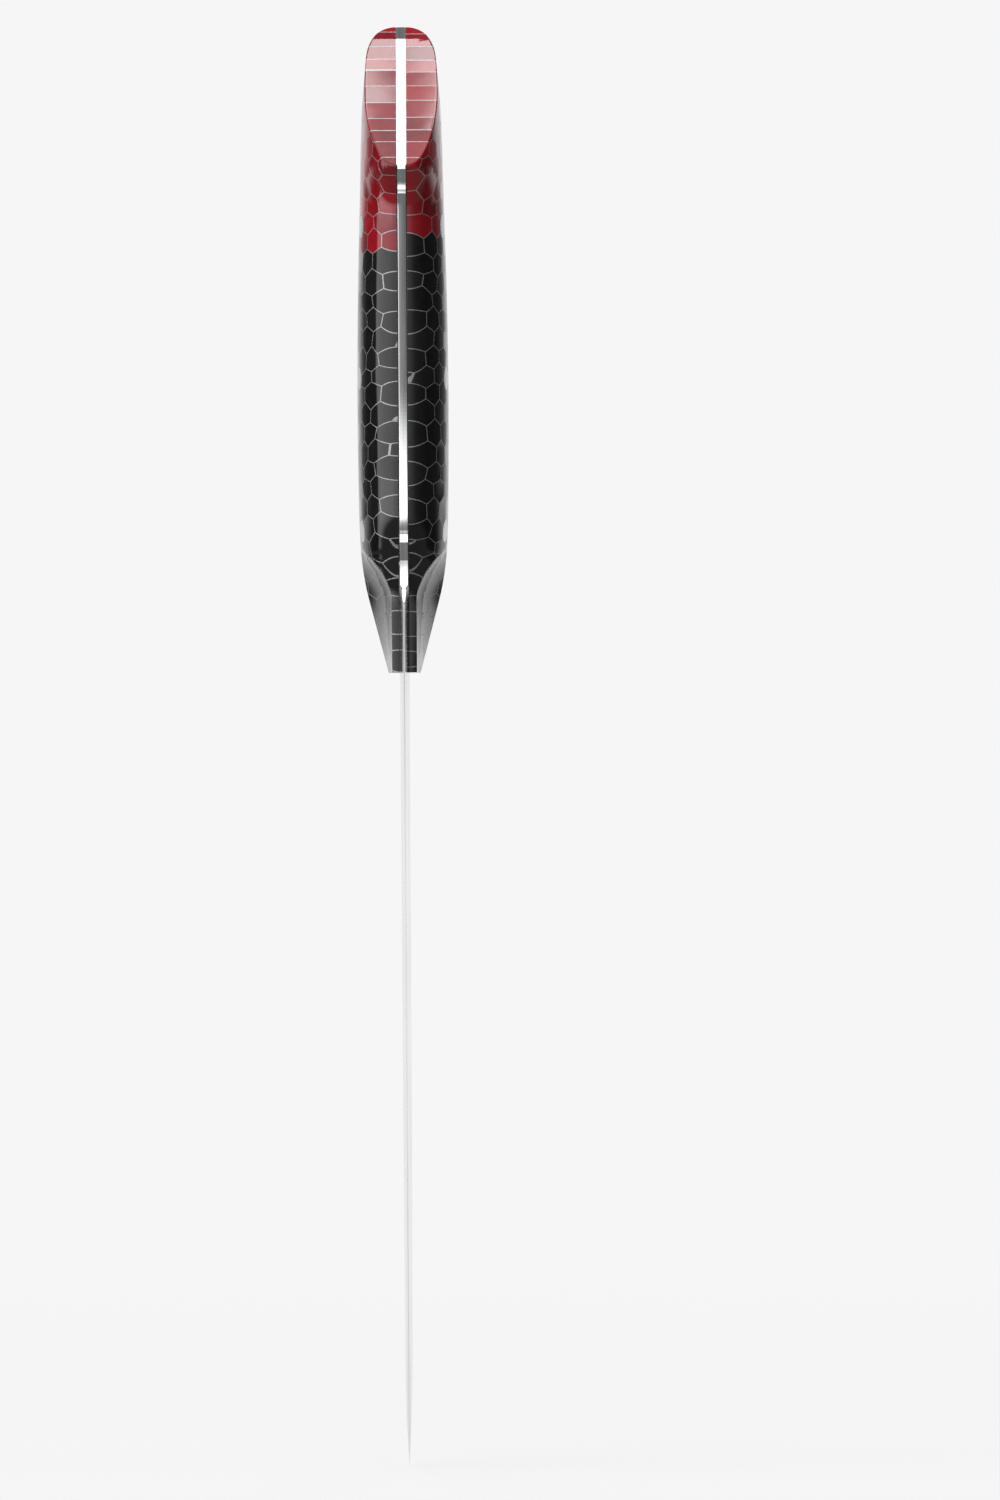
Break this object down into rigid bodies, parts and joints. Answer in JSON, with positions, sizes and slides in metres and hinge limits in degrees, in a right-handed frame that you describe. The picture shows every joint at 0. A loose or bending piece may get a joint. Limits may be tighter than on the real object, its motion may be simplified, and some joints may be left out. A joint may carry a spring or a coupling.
{
  "type": "chef's knife",
  "caption": "Full-tang chef's knife with a ground steel blade and glossy resin scales cast over an aluminium honeycomb core, black at the front and red at the butt.",
  "frame": {"origin": "axis of the middle handle pin, half way through the tang", "axes": "+Z runs from the tip to the butt, -Y faces the cutting edge and +Y the spine, X is the knife's thickness"},
  "size_m": [0.0192, 0.045, 0.3033],
  "materials": {
    "blade_steel": "satin ground stainless steel",
    "pin_steel": "polished flush with the scales",
    "black_resin": "polished tinted cast resin",
    "red_resin": "polished tinted cast resin",
    "foil": "bright honeycomb foil cut and polished with the resin",
    "glue": "dark epoxy film"
  },
  "bodies": {
    "root": {"blade": "blade_steel", "left_black_resin": "black_resin", "left_red_resin": "red_resin", "left_foil": "foil", "left_bond": "glue", "right_black_resin": "black_resin", "right_red_resin": "red_resin", "right_foil": "foil", "right_bond": "glue", "pin_front": "pin_steel", "pin_middle": "pin_steel", "pin_rear": "pin_steel"}
  },
  "joints": []
}
